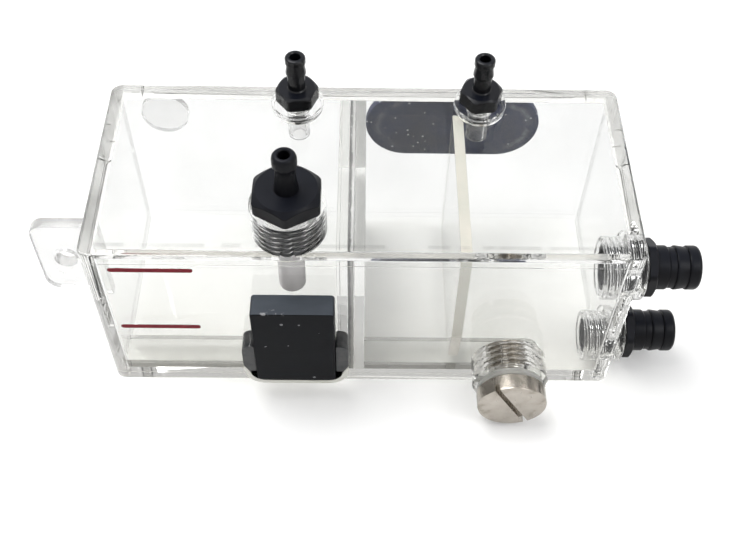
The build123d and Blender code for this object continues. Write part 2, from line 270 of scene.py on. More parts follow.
def dress(piece, slot, materials, *replaced, body="tank", angle=32):
    """Smooth a piece, give it its materials and body, and hide the CAD nodes it stands for; slot is not used.
    """
    smooth(piece, angle)
    for material in materials:
        piece.data.materials.append(material)
    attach(piece, body)
    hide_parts(*replaced)


def paint_faces(piece, index, chosen):
    """Give a material index to the faces whose centre (millimetres) and normal pass a test."""
    for polygon in piece.data.polygons:
        if chosen(polygon.center / MM, polygon.normal):
            polygon.material_index = index


# ------ Node trees

def grey(level):
    return level, level, level


class Nodes:
    """Node tree made in short calls; a value may be a number, a colour or another node's output."""

    def __init__(self, tree):
        self.tree = tree

    def node(self, kind, **settings):
        """New shader node with its own settings and the values of its inputs."""
        made = self.tree.nodes.new("ShaderNode" + kind)
        for key, value in settings.items():
            if hasattr(made, key):
                setattr(made, key, value)
            else:
                made.inputs[key.replace("_", " ")].default_value = value
        return made

    def link(self, source, target):
        self.tree.links.new(source, target)

    def feed(self, value, socket):
        if isinstance(value, bpy.types.NodeSocket):
            self.link(value, socket)
        elif isinstance(value, tuple):
            socket.default_value = (*value, 1)
        elif value is not None:
            socket.default_value = value

    def split(self, vector):
        """The x, y and z of a vector."""
        made = self.node("SeparateXYZ")
        self.link(vector, made.inputs["Vector"])
        return made.outputs["X"], made.outputs["Y"], made.outputs["Z"]

    def ramp(self, source, *stops):
        """Colour from a share between 0 and 1; a stop is (position, colour)."""
        made = self.node("ValToRGB")
        elements = made.color_ramp.elements
        while len(elements) < len(stops):
            elements.new(0.5)
        for element, (position, colour) in zip(elements, stops):
            element.position = position
            element.color = (*colour, 1)
        self.link(source, made.inputs["Fac"])
        return made.outputs["Color"]

    def spread(self, source, low, high, out_low, out_high):
        """A range of values stretched to another range, and held at its ends."""
        made = self.node("MapRange")
        ends = {"From Min": low, "From Max": high, "To Min": out_low, "To Max": out_high}
        for socket, value in ends.items():
            made.inputs[socket].default_value = value
        self.link(source, made.inputs["Value"])
        return made.outputs["Result"]

    def math(self, operation, result, *others):
        """Math node, or a chain of them where there are more than two values."""
        for other in others or (None,):
            made = self.node("Math", operation=operation)
            self.feed(result, made.inputs[0])
            self.feed(other, made.inputs[1])
            result = made.outputs[0]
        return result

    def product(self, *values):
        return self.math("MULTIPLY", *values)

    def seen(self):
        """1 for rays from the camera, also by way of metal or clear sheet; 0 for light on a surface."""
        rays = self.node("LightPath").outputs
        return self.math("MAXIMUM", rays["Is Camera Ray"], rays["Is Glossy Ray"], rays["Is Transmission Ray"])

    def mix_shaders(self, factor, first, second):
        made = self.node("MixShader")
        for source, socket in zip((factor, first, second), made.inputs):
            self.link(source, socket)
        return made.outputs["Shader"]


class Look(Nodes):
    """Material; its values are named after the sockets of the Principled shader."""

    def __init__(self, name, **values):
        self.material = bpy.data.materials.new(name)
        self.material.use_nodes = True
        super().__init__(self.material.node_tree)
        self.surface = self.tree.nodes["Principled BSDF"]
        self.output = self.tree.nodes["Material Output"]
        self.coordinates = self.node("TexCoord").outputs["Object"]
        for socket, value in values.items():
            self.surface.inputs[socket.replace("_", " ")].default_value = value

    def set(self, socket, source):
        self.link(source, self.surface.inputs[socket])

    def base(self, colour):
        self.set("Base Color", colour)

    def rough(self, source, smoothest, roughest, low=0.3, high=0.7):
        """Roughness that follows a noise."""
        self.set("Roughness", self.spread(source, low, high, smoothest, roughest))

    def bump(self, source, strength, distance):
        made = self.node("Bump", Strength=strength, Distance=distance)
        self.link(source, made.inputs["Height"])
        self.set("Normal", made.outputs["Normal"])

    def place(self):
        """Position in the object, as x, y and z in metres."""
        return self.split(self.coordinates)

    def normal(self):
        """Surface normal, as x, y and z."""
        return self.split(self.node("TexCoord").outputs["Normal"])

    def facing_up(self, start, full):
        """0 to 1 as the surface turns up, by the height of its normal."""
        return self.spread(self.normal()[2], start, full, 0, 1)

    def facing_sideways(self):
        """1 on faces that look to the left or right, 0 on the others."""
        return self.spread(self.math("ABSOLUTE", self.normal()[0]), 0.6, 0.9, 0, 1)

    def step(self, source, before, after, level=1.0):
        """0 up to one place and a level from another on, both in millimetres."""
        return self.spread(source, before * MM, after * MM, 0, level)

    def noise(self, scale, detail=3.0, roughness=0.55, stretch=None):
        made = self.node("TexNoise", Scale=scale, Detail=detail, Roughness=roughness)
        source = self.coordinates
        if stretch:
            mapping = self.node("Mapping", Scale=stretch)
            self.link(source, mapping.inputs["Vector"])
            source = mapping.outputs["Vector"]
        self.link(source, made.inputs["Vector"])
        return made.outputs["Fac"]

    def cells(self, scale):
        """Distance to the nearest of many scattered points, for bubbles and specks."""
        made = self.node("TexVoronoi", Scale=scale)
        self.link(self.coordinates, made.inputs["Vector"])
        return made.outputs["Distance"]

    def two_tone(self, source, first, second, low=0.3, high=0.7):
        """One colour that turns into another over the middle of a noise."""
        return self.ramp(source, (low, first), (high, second))

    def mix(self, factor, first, second):
        made = self.node("Mix", data_type="RGBA")
        colour_sockets = made.inputs[6], made.inputs[7]
        self.feed(factor, made.inputs[0])
        for colour, socket in zip((first, second), colour_sockets):
            self.feed(colour, socket)
        return made.outputs[2]

    def absorbs(self, colour, density):
        """Light is tinted with the length of its way through the material."""
        volume = self.node("VolumeAbsorption", Color=(*colour, 1), Density=density)
        self.link(volume.outputs["Volume"], self.output.inputs["Volume"])

    def lets_lamps_through(self, tint):
        """Rays to the lamps pass straight through, with a light tint, as light does through clear sheet."""
        straight = self.node("BsdfTransparent", Color=(*tint, 1)).outputs["BSDF"]
        to_lamp = self.node("LightPath").outputs["Is Shadow Ray"]
        surface = self.mix_shaders(to_lamp, self.surface.outputs["BSDF"], straight)
        self.link(surface, self.output.inputs["Surface"])


# ------ Materials

def cloudy(name, noise, first, second, rough=None, lamp_tint=None, **values):
    """Plain material whose colour, and roughness if given, follow one noise."""
    look = Look(name, **values)
    cloud = look.noise(*noise)
    look.base(look.two_tone(cloud, first, second))
    if rough:
        look.rough(cloud, *rough)
    if lamp_tint:
        look.lets_lamps_through(grey(lamp_tint))
    return look.material


def acrylic():
    """Polished clear sheet with faint wipe marks. Painted shade darkens the foot of the front wall, and greys
    the lid's top round the rim, where the lid is cemented down on the walls; grey dashes along the front seam
    are painted glints."""
    look = Look("clear_acrylic", IOR=1.49, Transmission_Weight=1.0, Specular_Tint=(*grey(0.5), 1))
    x, y, z = look.place()
    wipes = look.noise(45, 4, 0.6, stretch=(1, 1, 0.35))
    clean = look.two_tone(wipes, (0.905, 0.907, 0.904), (0.858, 0.861, 0.858), 0.35, 0.75)

    # Painted shade: the front wall is painted darker grey towards its foot, a little darker on the left than
    # on the right.
    front = look.step(y, inner_front + 0.6, inner_front - 0.6)
    foot = look.spread(z, lid_under * MM, floor_top * MM, 0.15, 1)
    side = look.spread(x, -0.004, 0.004, 0.9, 0.75)
    painted_foot_shade = look.product(front, foot, side)

    # Painted shade: the lid's top over the left, right and back walls is painted grey, in a strength that a
    # noise varies; cement marks where the lid is cemented down on these walls.
    soft = 0.2
    left = look.step(x, inner_left + soft, inner_left - soft, 0.85)
    right = look.step(x, inner_right - soft, inner_right + soft, 0.6)
    back = look.step(y, inner_back - soft, inner_back + soft, 0.6)
    cement = look.math("MAXIMUM", left, right, back)
    painted_rim_shade = look.product(cement, look.spread(look.noise(70, 3), 0.35, 0.65, 0.75, 1.15))

    # Painted glints: grey dashes painted in a thin band along the front seam on the lid's top, as the broken
    # row of lamp glints on that edge.
    from_seam = look.math("ABSOLUTE", look.math("SUBTRACT", y, inner_front * MM))
    glint_dashes = look.spread(look.noise(150, 1, 0.5, stretch=(1, 0.02, 0.02)), 0.50, 0.56, 0.3, 0)
    painted_glint_row = look.product(look.spread(from_seam, 0.0003, 0.0007, 1, 0), glint_dashes)

    # The painted shade of the rim and the painted glints go only on the lid's top face, and into the base
    # colour below.
    top = look.step(z, tank_high.z - 0.4, tank_high.z - 0.2)
    rim = look.product(top, look.math("MAXIMUM", painted_rim_shade, painted_glint_row))
    with_foot_shade = look.mix(painted_foot_shade, clean, (0.57, 0.56, 0.525))
    look.base(look.mix(rim, with_foot_shade, (0.16, 0.16, 0.155)))
    look.rough(wipes, 0.0, 0.03, 0.45, 0.8)
    look.lets_lamps_through((0.96, 0.96, 0.95))
    look.absorbs((0.46, 0.455, 0.41), 4.0)
    return look.material


def inner_sheet():
    """Sheet of the partition: clear, with greyer faces."""
    look = Look("partition_sheet", IOR=1.49, Roughness=0.0, Transmission_Weight=1.0)
    wipes = look.noise(60, 3, 0.6, stretch=(1, 1, 0.3))
    face = look.two_tone(wipes, grey(0.70), grey(0.84))
    look.base(look.mix(look.facing_sideways(), (0.98, 0.98, 0.975), face))
    look.lets_lamps_through(grey(0.92))
    return look.material


def cement_film():
    """Cement between the two partition sheets: a dark streak along one side, bubbles along the other."""
    low, high = corners("partition_film")
    look = Look("cement_film", IOR=1.45, Roughness=0.35)
    cloud = look.noise(120, 4, 0.6)
    wobble = look.spread(look.noise(160, 3, 0.6, stretch=(0.2, 1, 1)), 0.3, 0.7, -0.00025, 0.00025)
    across = look.math("ADD", look.place()[0], wobble)
    dark = look.two_tone(cloud, grey(0.14), (0.30, 0.30, 0.295))
    pale = look.two_tone(cloud, grey(0.62), (0.80, 0.80, 0.79))
    streak_side = low.x + (high.x - low.x) * 0.5
    streaked = look.mix(look.step(across, streak_side - 0.1, streak_side + 0.1), dark, pale)

    face = look.facing_sideways()
    streaked = look.mix(look.product(face, 0.8), streaked, (0.88, 0.88, 0.87))
    look.set("Transmission Weight", look.spread(face, 0, 1, 0.5, 0.85))

    bubbles = look.cells(900)
    speck = look.math("LESS_THAN", bubbles, 0.22)
    look.base(look.mix(look.product(speck, 0.5), streaked, grey(0.9)))
    look.bump(bubbles, 0.3, 0.0002)
    return look.material


def hazy_sheet():
    """Cast offcut used for the ear and for hazy cut edges: clear and softly hazed, with faces that look up
    painted darker grey as painted shade.
    """
    look = Look("hazy_sheet", IOR=1.49, Transmission_Weight=0.85)
    cloud = look.noise(130, 4, 0.6)
    face = look.two_tone(cloud, grey(0.82), (0.93, 0.93, 0.925))
    # Painted shade: faces that look up are painted darker grey.
    look.base(look.mix(look.facing_up(0.5, 0.9), face, (0.62, 0.62, 0.61)))
    look.rough(cloud, 0.12, 0.3)
    look.lets_lamps_through(grey(0.9))
    return look.material


def clear_tube(name, darkest, palest):
    """Clear plastic of the rear tubes and the blanking disc, a little frosted."""
    return cloudy(
        name, (200, 3), grey(darkest), grey(palest), rough=(0.08, 0.22), lamp_tint=0.9,
        IOR=1.25, Transmission_Weight=0.9,
    )


def painted_dark_sheet():
    """Dark sheet of the sensor's cradle, so dark that no light passes: painted shade for the black block seen
    through a clear cradle.
    """
    return cloudy(
        "painted_dark_sheet", (240, 4, 0.6), (0.022, 0.023, 0.026), grey(0.060), rough=(0.05, 0.25, 0.35, 0.75),
        IOR=1.49, Specular_IOR_Level=0.35,
    )


def sawn_edge(name, through):
    """Sawn sheet edge: cream, cloudy, finely grained, with faces that look up painted darker as painted
    shade; through is the share of light it passes.
    """
    look = Look(name, IOR=1.49, Roughness=0.45, Transmission_Weight=through)
    grain = look.noise(900, 3, 0.6, stretch=(1, 1, 0.15))
    cloud = look.noise(70, 3, 0.6)
    upright = look.two_tone(cloud, (0.78, 0.77, 0.69), (0.88, 0.87, 0.82))
    # Painted shade: faces that look up are painted darker than the upright ones.
    level = look.two_tone(cloud, (0.55, 0.55, 0.49), (0.66, 0.62, 0.56), 0.35, 0.6)
    look.base(look.mix(look.facing_up(0.5, 0.9), upright, level))
    look.bump(grain, 0.4, 0.0002)
    return look.material


def black_nylon(name, smoothest, roughest, shine):
    """Moulded black nylon with a faint mottle; faces that look up are painted a little bluer and lighter, a
    painted sheen of the bright room.
    """
    look = Look(name, IOR=1.5, Specular_IOR_Level=shine)
    mottle = look.noise(260, 4, 0.6)
    fine = look.noise(2600, 2, 0.5)
    base = look.two_tone(mottle, (0.003, 0.003, 0.004), (0.007, 0.0075, 0.0095), high=0.75)
    # Painted sheen: faces that look up are painted a little bluer and lighter.
    look.base(look.mix(look.facing_up(0.6, 1.0), base, (0.006, 0.007, 0.011)))
    look.rough(mottle, smoothest, roughest, 0.3, 0.75)
    look.bump(fine, 0.12, 0.0001)
    return look.material


def silicone():
    """Translucent sealing ring."""
    return cloudy(
        "silicone", (300, 3), (0.60, 0.60, 0.58), (0.76, 0.76, 0.74), lamp_tint=0.8,
        IOR=1.41, Roughness=0.3, Transmission_Weight=0.8,
    )


def milky_tube():
    """Milky translucent tube wall."""
    return cloudy(
        "milky_tube", (160, 3), (0.93, 0.905, 0.915), (0.98, 0.955, 0.965),
        IOR=1.45, Roughness=0.35, Transmission_Weight=0.25,
    )


def red_paint():
    """Dark red filling of the level marks."""
    return cloudy(
        "red_paint", (500, 3), (0.17, 0.006, 0.016), (0.23, 0.010, 0.022),
        Roughness=0.35, Specular_IOR_Level=0.1,
    )


def sensor_black():
    """Cast black resin with dust specks; its top is painted grey as a painted reflection of the bright room,
    and pale patches along its front top edge are painted glints.
    """
    look = Look("sensor_black", IOR=1.5, Specular_IOR_Level=0.05)
    low, high = corners("sensor_block")
    x, y, z = look.place()
    mottle = look.noise(180, 4)
    base = look.two_tone(mottle, (0.005, 0.0055, 0.007), (0.010, 0.011, 0.013), high=0.75)
    # Painted reflection: the top is painted a lighter grey-blue, as the bright room seen in it.
    streak = look.noise(90, 4, 0.6, stretch=(0.4, 1, 1))
    painted_top_sheen = look.two_tone(streak, (0.055, 0.063, 0.075), (0.085, 0.095, 0.112), high=0.75)
    base = look.mix(look.facing_up(0.4, 0.8), base, painted_top_sheen)

    # Painted glints: pale patches along part of the front top edge, broken up by a noise.
    top_edge = look.step(z, high.z - 0.5, high.z - 0.2)
    front_edge = look.step(y, low.y + 1.5, low.y + 1.1)
    glints_end = look.step(x, low.x + 7.6, low.x + 7.2)
    glints_start = look.step(x, low.x + 1.8, low.x + 2.2)
    broken = look.spread(look.noise(700, 3, 0.6), 0.50, 0.58, 0, 0.8)
    painted_edge_glints = look.product(top_edge, front_edge, glints_end, glints_start, broken)
    base = look.mix(painted_edge_glints, base, (0.42, 0.42, 0.43))

    dust = look.math("LESS_THAN", look.cells(330), 0.14)
    few = look.math("GREATER_THAN", look.noise(210, 1), 0.63)
    speck = look.product(dust, few)
    look.base(look.mix(speck, base, (0.22, 0.22, 0.23)))
    look.rough(mottle, 0.32, 0.5)
    look.bump(look.noise(1500, 2), 0.15, 0.0001)
    return look.material


def pad_foam():
    """Dark blue closed-cell foam under a thin film of glue, paler in arcs near the ends."""
    look = Look("pad_foam", Roughness=0.75, Specular_IOR_Level=0.25)
    low, high = corners("rear_pad")
    x, y, z = look.place()
    base = look.two_tone(look.noise(140, 4), (0.008, 0.016, 0.058), (0.028, 0.040, 0.105), high=0.75)

    centre, half = (low + high) / 2, (high - low) / 2
    arc_radius, arc_centre = 7.2, half.x - half.z
    wobble = look.spread(look.noise(60, 3), 0.3, 0.7, -0.0012, 0.0012)
    across = look.math("ADD", look.math("SUBTRACT", x, centre.x * MM), wobble)
    tall = look.math("SUBTRACT", z, centre.z * MM)
    past_centre = look.math("SUBTRACT", look.math("ABSOLUTE", across), arc_centre * MM)
    reach = look.math("MAXIMUM", past_centre, 0.0)
    squares = [look.product(length, length) for length in (reach, tall)]
    radius = look.math("SQRT", look.math("ADD", *squares))
    from_arc = look.math("ABSOLUTE", look.math("SUBTRACT", radius, arc_radius * MM))
    arc = look.spread(from_arc, 0.0002, 0.0011, 0.55, 0)
    patchy = look.spread(look.noise(300, 3), 0.35, 0.6, 0, 1)
    arcs = look.product(arc, look.step(reach, 0.5, 3.0), patchy)
    base = look.mix(arcs, base, (0.30, 0.32, 0.36))

    damp = look.product(look.spread(look.noise(55, 2), 0.48, 0.6, 0, 1), 0.6)
    base = look.mix(damp, base, (0.008, 0.009, 0.024))
    dusty = look.spread(across, -0.014, 0.004, 0.12, 0)
    base = look.mix(look.product(dusty, 3.0), base, (0.085, 0.095, 0.140))
    bubbles = look.math("LESS_THAN", look.cells(620), 0.16)
    few = look.math("GREATER_THAN", look.math("ADD", look.noise(320, 1), dusty), 0.60)
    speck = look.product(bubbles, few)
    look.base(look.mix(speck, base, (0.62, 0.64, 0.68)))
    look.bump(look.noise(1800, 2), 0.3, 0.0001)
    return look.material


def nickel():
    """Nickel-plated turned metal with fine marks and grey smudges."""
    look = Look("nickel_plate", Metallic=1.0)
    smudge = look.noise(210, 5, 0.65)
    streak = look.noise(900, 3, 0.6, stretch=(1, 0.2, 0.2))
    tones = (0.32, (0.27, 0.25, 0.21)), (0.45, (0.41, 0.375, 0.33)), (0.75, (0.50, 0.465, 0.42))
    look.base(look.ramp(smudge, *tones))
    look.rough(streak, 0.16, 0.30)
    look.bump(streak, 0.08, 0.0001)
    return look.material


clear = acrylic()
inner = inner_sheet()
film = cement_film()
hazy = hazy_sheet()
pipe = clear_tube("clear_tube", 0.92, 0.97)
# Painted shade: a darker copy of the clear tube, for the rear right tube that stands in front of the dark
# pad.
shaded_pipe = clear_tube("clear_tube_shaded", 0.62, 0.8)
# Dark sheet that is painted shade, for the cradle.
painted_dark = painted_dark_sheet()
sawn = sawn_edge("sawn_edge", 0.35)
pale_lip = sawn_edge("sawn_lip", 0.1)
black = black_nylon("black_nylon", 0.30, 0.46, 0.12)
gloss = black_nylon("black_nylon_gloss", 0.14, 0.26, 0.28)
rubber = silicone()
milky = milky_tube()
red = red_paint()
resin = sensor_black()
foam = pad_foam()
metal = nickel()


# ------ Ports

THREAD_PLAY = 0.05
WELD = 1.0           # how far a collar or a flange reaches into the sheet that it is cemented to


class Port:
    """One threaded port: where it sits, and the sizes that its parts share."""

    def __init__(self, node, direction, crest, depth, pitch, flat, through=0.0):
        low, high = corners(node)
        axis = [abs(part) for part in direction].index(1)
        across, x_dir = (0, X) if axis else (1, Y)
        self.crest, self.root, self.pitch, self.flat = crest, crest - depth, pitch, flat
        self.flange, self.height = (high[across] - low[across]) / 2, high[axis] - low[axis]
        self.length = self.height + through
        seat = (low + high) / 2
        seat[axis] = (high if direction[axis] > 0 else low)[axis]
        self.seat = placed(seat, x_dir, direction)

    def raised(self, height, turn=0.0):
        """Seat moved outwards, and turned about its axis by an angle in degrees."""
        return self.seat @ Matrix.Translation((0, 0, height)) @ Matrix.Rotation(math.radians(turn), 4, "Z")

    def bushing(self, body, flange_height, edge=0.3):
        """Clear boss: a flange outside the sheet and a narrower body that passes through it."""
        shoulder = -flange_height - WELD
        rows = [
            (body - edge, -self.height), (body, -self.height + edge), (body, shoulder),
            (self.flange, shoulder), (self.flange, -edge), (self.flange - edge, 0),
        ]
        return spin("boss", rows, self.seat)

    def collar(self, *grooves, groove_depth=0.22, half_groove=0.12, edge=0.25):
        """Clear collar that stands on the sheet, with fine grooves at some heights from its rim."""
        rows = [(self.flange, -self.height - WELD)]
        for height in sorted(grooves):
            rows += [(self.flange, height - half_groove), (self.flange - groove_depth, height)]
            rows += [(self.flange, height + half_groove)]
        rows += [(self.flange, -edge), (self.flange - edge, 0)]
        return spin("boss", rows, self.seat)

    def glue_line(self, inset, deepest, highest, thickness=0.08):
        """Hairline ring left unglued in the sheet under the collar."""
        radius = self.flange - inset
        low, high = -self.height - deepest, -self.height - highest
        rows = [(radius - thickness, low), (radius, low), (radius, high), (radius - thickness, high)]
        return spin("glue_line", rows, self.seat, ring=True)

    def bore(self, beyond=1.0, lead_in=0.25):
        """Cutter for the threaded bore, which may run on beyond its far end."""
        crest, root = self.crest + THREAD_PLAY, self.root + THREAD_PLAY
        rows = [(crest + lead_in, 1), (crest + lead_in, 0), (crest, -0.3)]
        rows += thread_rows(root, crest, -0.4, -self.length + 0.2, self.pitch, self.flat)
        rows += [(crest, -self.length - beyond)]
        return spin("bore", rows, self.seat, segments=72)


COARSE = {"depth": 0.85, "pitch": 1.5}
FINE = {"depth": 0.5, "pitch": 1.0}
front_port = Port("lid_port_collar_front", Z, 6.0, **COARSE, flat=0.1, through=sheet)
drain_port = Port("drain_collar", -Y, 5.0, **COARSE, flat=0.1, through=sheet)
rear_ports = {
    side: Port(f"lid_port_collar_rear_{side}", Z, 3.0, **FINE, flat=0.5, through=sheet)
    for side in ("left", "right")
}
side_ports = {
    side: Port(f"side_port_bushing_{side}", X, 4.8, **COARSE, flat=0.45)
    for side in ("upper", "lower")
}


# ------ Clear box and what is cemented to it

def hollow():
    """Cutter for the inside of the box, a hair larger than the room that the inner pieces fill."""
    outline = rectangle((inner_left - GAP, inner_front - GAP), (inner_right + GAP, inner_back + GAP), 1.0, 5)
    return plate("inner_void", outline, floor_top - GAP, lid_under + GAP, 0.25)


def mark_outline(node, grow=0.0):
    """Slot shape of a level mark."""
    low, high = corners(node)
    radius = (high.z - low.z) / 2 + grow
    return rectangle((low.x - grow, low.z - grow), (high.x + grow, high.z + grow), radius - 0.001)


def mark_groove(node):
    """Cutter for the groove that holds a level mark's paint, with a little room round the paint."""
    room, reach = 0.03, 2
    back = corners(node)[1].y
    return plate("groove", mark_outline(node, room), -room, reach, matrix=facing_front(back))


def clear_shell():
    """Floor, lid and walls as the one cemented body that they are, with the ports' bushings."""
    outline = rectangle(
        (tank_low.x + GAP, tank_low.y + GAP), (tank_high.x - GAP, tank_high.y - GAP), 2.5, 10,
    )
    joints = (floor_top, lid_under)
    shell = plate("tank_shell", outline, tank_low.z + GAP, tank_high.z - GAP, 0.45, joints, 0.09)
    rear, sides = rear_ports.values(), side_ports.values()
    combine("DIFFERENCE", shell, hollow())
    combine("UNION", shell, front_port.collar(-0.9), drain_port.collar(-3.2))
    combine("UNION", shell, *(port.collar(-0.85, -0.4) for port in rear))
    combine("UNION", shell, *(port.bushing(body=6.1, flange_height=2.3) for port in sides))
    combine("DIFFERENCE", shell, front_port.bore(beyond=0.0))
    combine("DIFFERENCE", shell, *(port.bore() for port in (drain_port, *rear, *sides)))
    for port in rear:
        combine("DIFFERENCE", shell, port.glue_line(0.1, 1.1, 0.4), port.glue_line(0.5, 2.5, 1.7))
    combine("DIFFERENCE", shell, *(mark_groove(f"level_mark_{level}") for level in ("upper", "lower")))
    dress(
        shell, "clear_acrylic", [clear],
        "bottom_plate", "lid", "front_wall", "back_wall", "left_wall", "right_wall",
        "lid_port_collar_front", "lid_port_collar_rear_left", "lid_port_collar_rear_right",
        "side_port_bushing_upper", "side_port_bushing_lower", "drain_collar",
    )


def partition():
    """Two clear sheets with a film of cement between them."""
    for side in ("left", "right"):
        node = f"partition_{side}"
        dress(filled_box(f"divider_{side}", node, 0.12, 3, edge=0.12), "clear_acrylic", [inner], node)
    dress(filled_box("divider_film", "partition_film", 0.1, 2), "cement_film", [film], "partition_film")


def ear():
    """Ear plate with a screw hole whose rims are broken."""
    low, high = corners("mounting_ear")
    centre, thick = (low + high) / 2, high.y - low.y
    corner, hole, rim, broken = 3.5, 2.25, 2.6, 0.35
    outline = rounded(
        (low.x, high.z - GAP, corner), (low.x, low.z + GAP, corner),
        (high.x - GAP, low.z + GAP, 0), (high.x - GAP, high.z - GAP, 0),
    )
    piece = front_plate("mounting_ear_plate", "mounting_ear", outline, 0.5)
    rows = [(rim, -1), (rim, 0), (hole, broken), (hole, thick - broken), (rim, thick), (rim, thick + 1)]
    drill = spin("ear_hole", rows, placed((centre.x, high.y, centre.z), X, -Y), segments=48)
    combine("DIFFERENCE", piece, drill)
    dress(piece, "clear_acrylic", [hazy], "mounting_ear")


def cradle():
    """U-shaped holder round the lower part of the sensor block, painted dark as painted shade for the black
    block seen through it, with a pale lip round its foot.
    """
    low, high = corners("sensor_cradle")
    block_low, block_high = corners("sensor_block")
    slack, top_radius, foot_radius, lip, edge, small = 0.1, 2.2, 5.0, 1.5, 0.12, 0.2
    lip_top, lip_full = low.z + 7.5, low.z + 4.6
    gap = 2 * GAP
    left, right, foot = low.x + lip, high.x - lip, low.z + lip
    holder = rounded(
        (low.x, high.z, top_radius), (low.x, lip_top + gap, small), (left + gap, lip_full, small),
        (left + gap, foot + gap, foot_radius - lip), (right - gap, foot + gap, foot_radius - lip),
        (right - gap, lip_full, small), (high.x, lip_top + gap, small), (high.x, high.z, top_radius),
        (block_high.x + slack, high.z, 0.4), (block_high.x + slack, block_low.z, 0.3),
        (block_low.x - slack, block_low.z, 0.3), (block_low.x - slack, high.z, 0.4),
    )
    border = rounded(
        (low.x, lip_top, 0), (low.x, low.z, foot_radius), (high.x, low.z, foot_radius), (high.x, lip_top, 0),
        (right, lip_full, small), (right, foot, foot_radius - lip),
        (left, foot, foot_radius - lip), (left, lip_full, small),
    )
    # The holder takes the dark sheet, painted shade for the black block seen through the clear cradle.
    for name, outline, material in ("cradle", holder, painted_dark), ("cradle_lip", border, pale_lip):
        piece = front_plate(name, "sensor_cradle", outline, edge, start=GAP)
        dress(piece, "smoked_acrylic", [material], "sensor_cradle")


def blanking_disc():
    """Round clear disc cemented to the outside of the back wall."""
    low, high = corners("blanking_disc")
    centre = (low + high) / 2
    radius, thick, bevel = (high.x - low.x) / 2, high.y - low.y, 0.4
    rows = [
        (radius - 0.15, GAP), (radius, 0.2), (radius, thick - bevel),
        (radius - bevel, thick), (radius - bevel - 0.3, thick),
    ]
    piece = spin("disc", rows, placed((centre.x, low.y, centre.z), -X, Y), segments=64)
    dress(piece, "clear_acrylic", [pipe], "blanking_disc")


clear_shell()
partition()
ear()
cradle()
blanking_disc()


# ------ Inside plates

def baffle():
    """Baffle with sawn edges, notched over the floor strip, its front edge cut back above the notch."""
    low, high = corners("baffle_plate")
    strip_high = corners("floor_strip_right")[1]
    cut_height, cut_depth, corner = 14.2, 2.0, 0.3
    outline = rounded(
        (strip_high.y + GAP, low.z, 0.2), (high.y, low.z, corner), (high.y, high.z, corner),
        (low.y, high.z, corner), (low.y, low.z + cut_height, corner),
        (low.y + cut_depth, strip_high.z + GAP, 0.2), (strip_high.y + GAP, strip_high.z + GAP, 0.1), steps=3,
    )
    piece = plate("baffle", outline, low.x, high.x, 0.15, matrix=placed((0, 0, 0), Y, X))
    dress(piece, "clear_acrylic", [clear, sawn, hazy], "baffle_plate")

    def edge_face(centre, normal):
        return abs(normal.x) < 0.5

    def cut_face(centre, normal):
        return edge_face(centre, normal) and centre.y < low.y + cut_depth and centre.z < low.z + cut_height

    paint_faces(piece, 1, edge_face)
    paint_faces(piece, 2, cut_face)


def floor_strips():
    """Strips that lie on the floor along the front wall, with a hazy edge along the back."""
    small, large = 0.3, 3.0
    for side, end_radius in (("left", small), ("right", large)):
        node = f"floor_strip_{side}"
        low, high = corners(node)
        outline = rounded(
            (low.x, low.y, small), (high.x, low.y, small),
            (high.x, high.y, end_radius), (low.x, high.y, small),
        )
        piece = plate(f"strip_{side}", outline, low.z, high.z, 0.15)
        dress(piece, "clear_acrylic", [clear, hazy], node)
        paint_faces(piece, 1, lambda centre, normal: normal.y > 0.4)


baffle()
floor_strips()


# ------ Fittings, seals, plug and tubes

def hexagon_rows(flats, height, chamfer, soft=0.12, worn=0.2):
    """Rows of a hexagon with chamfered top corners, from its underside up.

    Its edges are softened, and its six upright corners are worn off by a little."""
    apothem, corner = flats / 2, flats / math.sqrt(3)
    flat_top = apothem - chamfer / 2
    slope = chamfer / (corner - flat_top)

    def side(angle):
        offset = angle % (TURN / 6) - TURN / 12
        return min(apothem / math.cos(offset), corner - worn)

    def level(inset, drop, base=None):
        def row(angle):
            radius = side(angle)
            top = height - slope * max(0.0, radius - flat_top)
            return radius - inset, (top - drop if base is None else base)
        return row

    return [
        level(soft, 0, 0.0), level(0, 0, soft), level(0, soft), level(soft, -soft * slope),
        (flat_top, height), (flat_top - 0.25, height),
    ]


def fitting(
    name, node, port, material, flats, hex_height, chamfer, turn, barb, bore, nipple=None, short=0.0,
):
    """Black hose fitting: threaded shank, hexagon, barb and a bore through all.

    nipple is the radius and length of a plain end below the thread; short is what the shank lacks of
    the port's length."""
    end = -port.length + short
    thread_root = 2 * port.root - port.crest
    if nipple:
        radius, reach = nipple
        tip = end - reach
        rows = [(bore, tip), (radius - 0.2, tip), (radius, tip + 0.3), (radius, end)]
    else:
        rows = [(bore, end), (thread_root - 0.2, end)]
    rows += thread_rows(thread_root, port.root, end, -0.05, port.pitch, port.flat)
    rows += hexagon_rows(flats, hex_height, chamfer)
    rows += [(radius, hex_height + height) for radius, height in barb]
    top = hex_height + barb[-1][1]
    rows += [(bore + 0.2, top), (bore, top - 0.2)]
    piece = spin(name, rows, port.raised(seal_thickness, turn), ring=True)
    dress(piece, "black_nylon", [material], node, angle=25)


def ridges(shank, ridge, starts, end, tip_radius, tip_steps=6):
    """Saw-tooth ridges of a barb as points, and a rounded tip."""
    points = []
    rise = (ridge - shank) / 2
    for start in starts:
        top = start + rise
        points += [(shank + 0.03, start - 0.15), (shank, start)]
        points += [(ridge - 0.05, top), (ridge, top + 0.12), (ridge, top + 0.5)]
    points += [(ridge, end - tip_radius)]
    for step in range(1, tip_steps + 1):
        angle = TURN / 4 * step / tip_steps
        radius = ridge - tip_radius * (1 - math.cos(angle))
        points.append((radius, end - tip_radius * (1 - math.sin(angle))))
    return points


